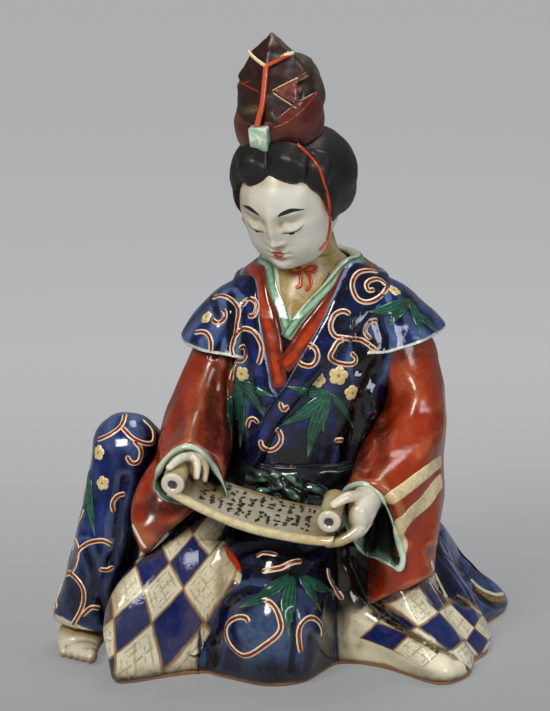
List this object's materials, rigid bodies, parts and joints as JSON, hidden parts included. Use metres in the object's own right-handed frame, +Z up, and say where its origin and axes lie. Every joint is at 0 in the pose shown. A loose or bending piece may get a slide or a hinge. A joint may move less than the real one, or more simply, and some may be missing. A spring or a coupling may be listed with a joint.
{
  "type": "ceramic figurine",
  "caption": "Hollow glazed porcelain figurine of a seated reader in a pleated cap and layered robes, one knee raised, holding an open scroll in both hands.",
  "frame": {"origin": "the middle of the underside: centre of the outline in plan, at the level of the foot rim", "axes": "+Z up, the figure faces -Y, its own right hand is towards -X"},
  "size_m": [0.1782, 0.1142, 0.2404],
  "materials": {
    "white_glaze": "glossy, with fine crazing and ochre staining in the recesses",
    "cobalt_glaze": "glossy blue glaze, black where it pools, painted with scrolls, bamboo and blossoms",
    "check_glaze": "glossy lozenges of white and blue with a gilt-brown outline",
    "dark_glaze": "glossy blue-black glaze",
    "red_enamel": "glossy iron-red enamel, thin on the ridges",
    "brown_enamel": "satin iron-brown enamel",
    "green_enamel": "glossy translucent green enamel",
    "black_enamel": "satin black enamel",
    "scroll_glaze": "glossy grey-white glaze with a cream edge"
  },
  "bodies": {
    "root": {"head_and_neck": "white_glaze", "torso": "cobalt_glaze", "obi": "dark_glaze", "robe_lap": "cobalt_glaze", "robe_fold_front": "check_glaze", "robe_fold_side": "check_glaze", "robe_train": "cobalt_glaze", "robe_back": "cobalt_glaze", "robe_panel_right": "check_glaze", "foot_right": "white_glaze", "raised_leg": "cobalt_glaze", "cap_brim": "brown_enamel", "chin_cord": "red_enamel", "cap_crown": "brown_enamel", "cap_pleats": "brown_enamel", "cap_badge": "green_enamel", "hair": "black_enamel", "cap_cord": "red_enamel", "scroll_roll_right": "scroll_glaze", "scroll_roll_left": "scroll_glaze", "scroll_sheet": "scroll_glaze", "hand_right": "white_glaze", "hand_left": "white_glaze", "sleeve_right": "red_enamel", "sleeve_left": "red_enamel", "vest_lapel": "cobalt_glaze", "collar_red": "red_enamel", "collar_green": "green_enamel", "vest_wing_right": "cobalt_glaze", "vest_wing_left": "cobalt_glaze", "chin_bow": "red_enamel", "obi_knot": "green_enamel"}
  },
  "joints": []
}
